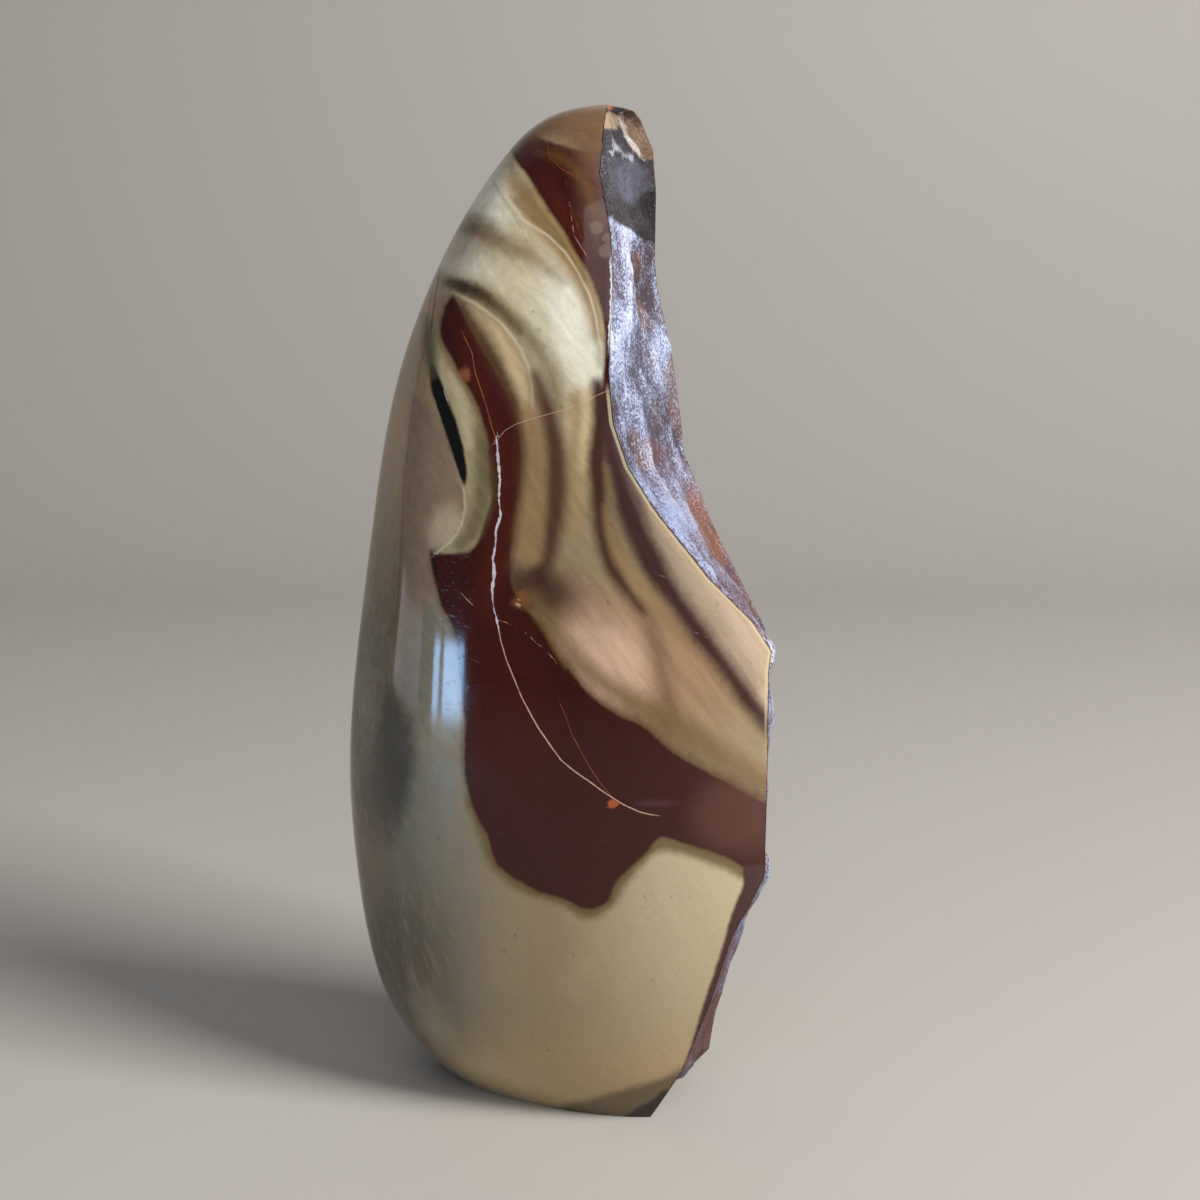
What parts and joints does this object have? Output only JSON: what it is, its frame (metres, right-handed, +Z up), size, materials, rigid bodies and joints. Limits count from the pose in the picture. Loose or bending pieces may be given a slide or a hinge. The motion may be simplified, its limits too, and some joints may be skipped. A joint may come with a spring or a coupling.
{
  "type": "polished jasper freeform stone",
  "caption": "Tall freeform of banded brown and cream jasper, polished on front, flank and back with one rough broken side, standing on a small flat base as a display stone.",
  "frame": {"origin": "centre of the bounding box at its bottom, on the surface the stone stands on", "axes": "+Z up along the stone's height, -Y out of the polished front face, +X towards the rough broken side"},
  "size_m": [0.075, 0.0568, 0.1702],
  "materials": {
    "jasper": "polished banded jasper in maroon, tan, cream and olive, with one rough broken side"
  },
  "bodies": {
    "root": {"stone": "jasper"}
  },
  "joints": []
}
